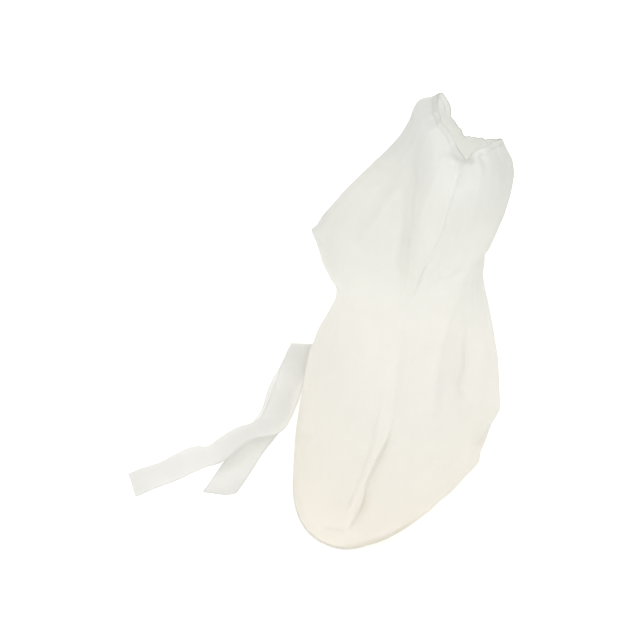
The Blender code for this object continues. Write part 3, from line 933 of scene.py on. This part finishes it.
def roundedCorner(across, along, width, length, radius):
    # how far each point moves across and along, so that the right corner of the free end is round
    p = np.clip((radius - (1.0 - across) * width) / radius, 0.0, 1.0)
    q = np.clip((radius - (1.0 - along) * length) / radius, 0.0, 1.0)
    return radius * p * (np.sqrt(1.0 - 0.5 * q**2) - 1.0), radius * q * (np.sqrt(1.0 - 0.5 * p**2) - 1.0)


def tieStations(stations):
    # the stations in the frame, the first one set so that the right corner of the end meets the upper
    p = tieCut
    spots = np.array(stations, float)
    place, angle = np.array([p["tackPlace"]]), np.radians([p["tackAngle"]])
    tack, out = onUpper(place, angle)[0], outOfUpper(place, angle)[0]
    first = widthWay(math.radians(spots[0, 3]), math.radians(spots[0, 4]))
    stack = spots[0, 2] * (p["stackOut"] * out + (0.0, 0.0, 1.0))
    spots[:, :2] += tack[:2]
    spots[0, :3] = tack + out * p["tackOut"] - first * 0.5 * p["width"] + stack
    return spots


def onTie(spots, across, along):
    # places on a tie, the way along it and the way across it
    p = tieCut
    where = along * (len(spots) - 1)
    values = smoothRows(spots, where)
    ahead, behind = smoothRows(spots, where + p["probeAlong"]), smoothRows(spots, where - p["probeAlong"])
    run = unit(ahead[:, :3] - behind[:, :3])
    width = widthWay(np.radians(values[:, 3]), np.radians(values[:, 4]))
    slant = np.linalg.norm(np.cross(width, run), axis=1)
    return values[:, :3] + width * (p["width"] * (across - 0.5) / slant)[:, None], run, width


def makeTie(name, end):
    p = tieCut
    spots = tieStations(end["stations"])
    bm, across, along = flatSheet(p["columns"], p["perStation"] * (len(spots) - 1))
    points, run, width = onTie(spots, across, along)
    fine = smoothRows(spots, np.linspace(0.0, len(spots) - 1, p["lengthSamples"]))[:, :3]
    length = float(np.linalg.norm(np.diff(fine, axis=0), axis=1).sum())
    inward, backward = roundedCorner(across, along, p["width"], length, end["corner"])
    points += width * inward[:, None] + run * backward[:, None]
    points[:, 2] = np.maximum(points[:, 2], p["lowest"])
    shapeSheet(bm, points)
    metricMap(bm, np.stack([across * p["width"], along * length], axis=1).tolist())
    # painted light: paler where the ties lie in the boot's shade and under each other
    shown = np.interp(along, end["paleAlong"], end["paleShares"])
    paint(bm, "paintedTieLight", np.interp(across, (0.0, 1.0), end["paleEdges"]) * shown)
    bmesh.ops.recalc_face_normals(bm, faces=bm.faces)
    piece = newPiece(name, bm, tieSheet, [end["node"]])
    thicken(piece, p["thickness"], 0.0)
    print(name, "is", round(length, 3), "m long")
    return piece


tieShort = makeTie("tieShort", shortEnd)
tieLong = makeTie("tieLong", longEnd)


def makeTackStitches(p):
    # the ties are sewn to the upper along the edge beside it
    bm = bmesh.new()
    along = np.linspace(0.0, p["tackEnd"], p["tackSamples"])
    across = np.full(len(along), p["tackAcross"])
    points, run, width = onTie(tieStations(longEnd["stations"]), across, along)
    out = unit(np.cross(width, run))
    out = out * np.sign(out[:, 2:])
    sewLine(bm, points + out * 0.5 * p["thickness"], out, seamThread)
    bmesh.ops.recalc_face_normals(bm, faces=bm.faces)
    return newPiece("tackStitches", bm, threadSheet)


tackStitches = makeTackStitches(tieCut)
print("ties sewn on:", len(tackStitches.data.polygons), "faces")


# floor and light: a pale floor under an even sky, with soft lamps above, in front, at both sides and behind
studio = dict(
    floor=(0.92, 0.92, 0.915),
    floorSize=6.0,
    floorRoughness=0.9,
    floorGlow=0.19,
    sky=0.65,
    aim=(0.0, 0.0, 0.12),
    # place, size in metres, power and colour of each soft lamp
    lamps=(
        ((-0.3, 0.0, 2.4), 3.0, 17.7, (1.0, 0.985, 0.96)),
        ((0.0, -1.6, 1.3), 0.6, 11.7, (1.0, 0.985, 0.96)),
        ((-1.6, -0.2, 0.9), 0.6, 2.4, (1.0, 0.985, 0.96)),
        ((1.6, -0.2, 0.9), 0.6, 2.0, (1.0, 0.985, 0.96)),
        ((0.0, 1.7, 1.3), 1.2, 22.3, (1.0, 0.995, 0.98)),
    ),
    bounces=12,  # light goes through the sheet and round inside it many times
    softBounces=8,
)
white = (1.0, 1.0, 1.0, 1.0)


def makeFloor(p):
    bm = bmesh.new()
    bmesh.ops.create_grid(bm, x_segments=1, y_segments=1, size=p["floorSize"])
    mesh = bpy.data.meshes.new("floor")
    bm.to_mesh(mesh)
    bm.free()
    floor = bpy.data.objects.new("floor", mesh)
    scene.collection.objects.link(floor)
    material = bpy.data.materials.new("floorPaper")
    material.use_nodes = True
    shader = material.node_tree.nodes["Principled BSDF"]
    shader.inputs["Base Color"].default_value = (*p["floor"], 1.0)
    shader.inputs["Roughness"].default_value = p["floorRoughness"]
    shader.inputs["Specular IOR Level"].default_value = 0.0
    shader.inputs["Emission Color"].default_value = white
    shader.inputs["Emission Strength"].default_value = p["floorGlow"]
    mesh.materials.append(material)


def makeSky(p):
    world = bpy.data.worlds.new("studioSky")
    world.use_nodes = True
    sky = world.node_tree.nodes["Background"]
    sky.inputs["Color"].default_value = white
    sky.inputs["Strength"].default_value = p["sky"]
    scene.world = world


def makeLamps(p):
    for number, (place, size, power, colour) in enumerate(p["lamps"]):
        lamp = bpy.data.lights.new(f"softLamp{number}", "AREA")
        lamp.shape = "SQUARE"
        lamp.size = size
        lamp.energy = power
        lamp.color = colour
        holder = bpy.data.objects.new(lamp.name, lamp)
        scene.collection.objects.link(holder)
        holder.location = place
        holder.rotation_mode = "QUATERNION"
        holder.rotation_quaternion = (Vector(p["aim"]) - holder.location).to_track_quat("-Z", "Y")


makeFloor(studio)
makeSky(studio)
makeLamps(studio)
scene.view_settings.view_transform = "Standard"
scene.cycles.max_bounces = studio["bounces"]
scene.cycles.diffuse_bounces = studio["softBounces"]
print("floor and light set")
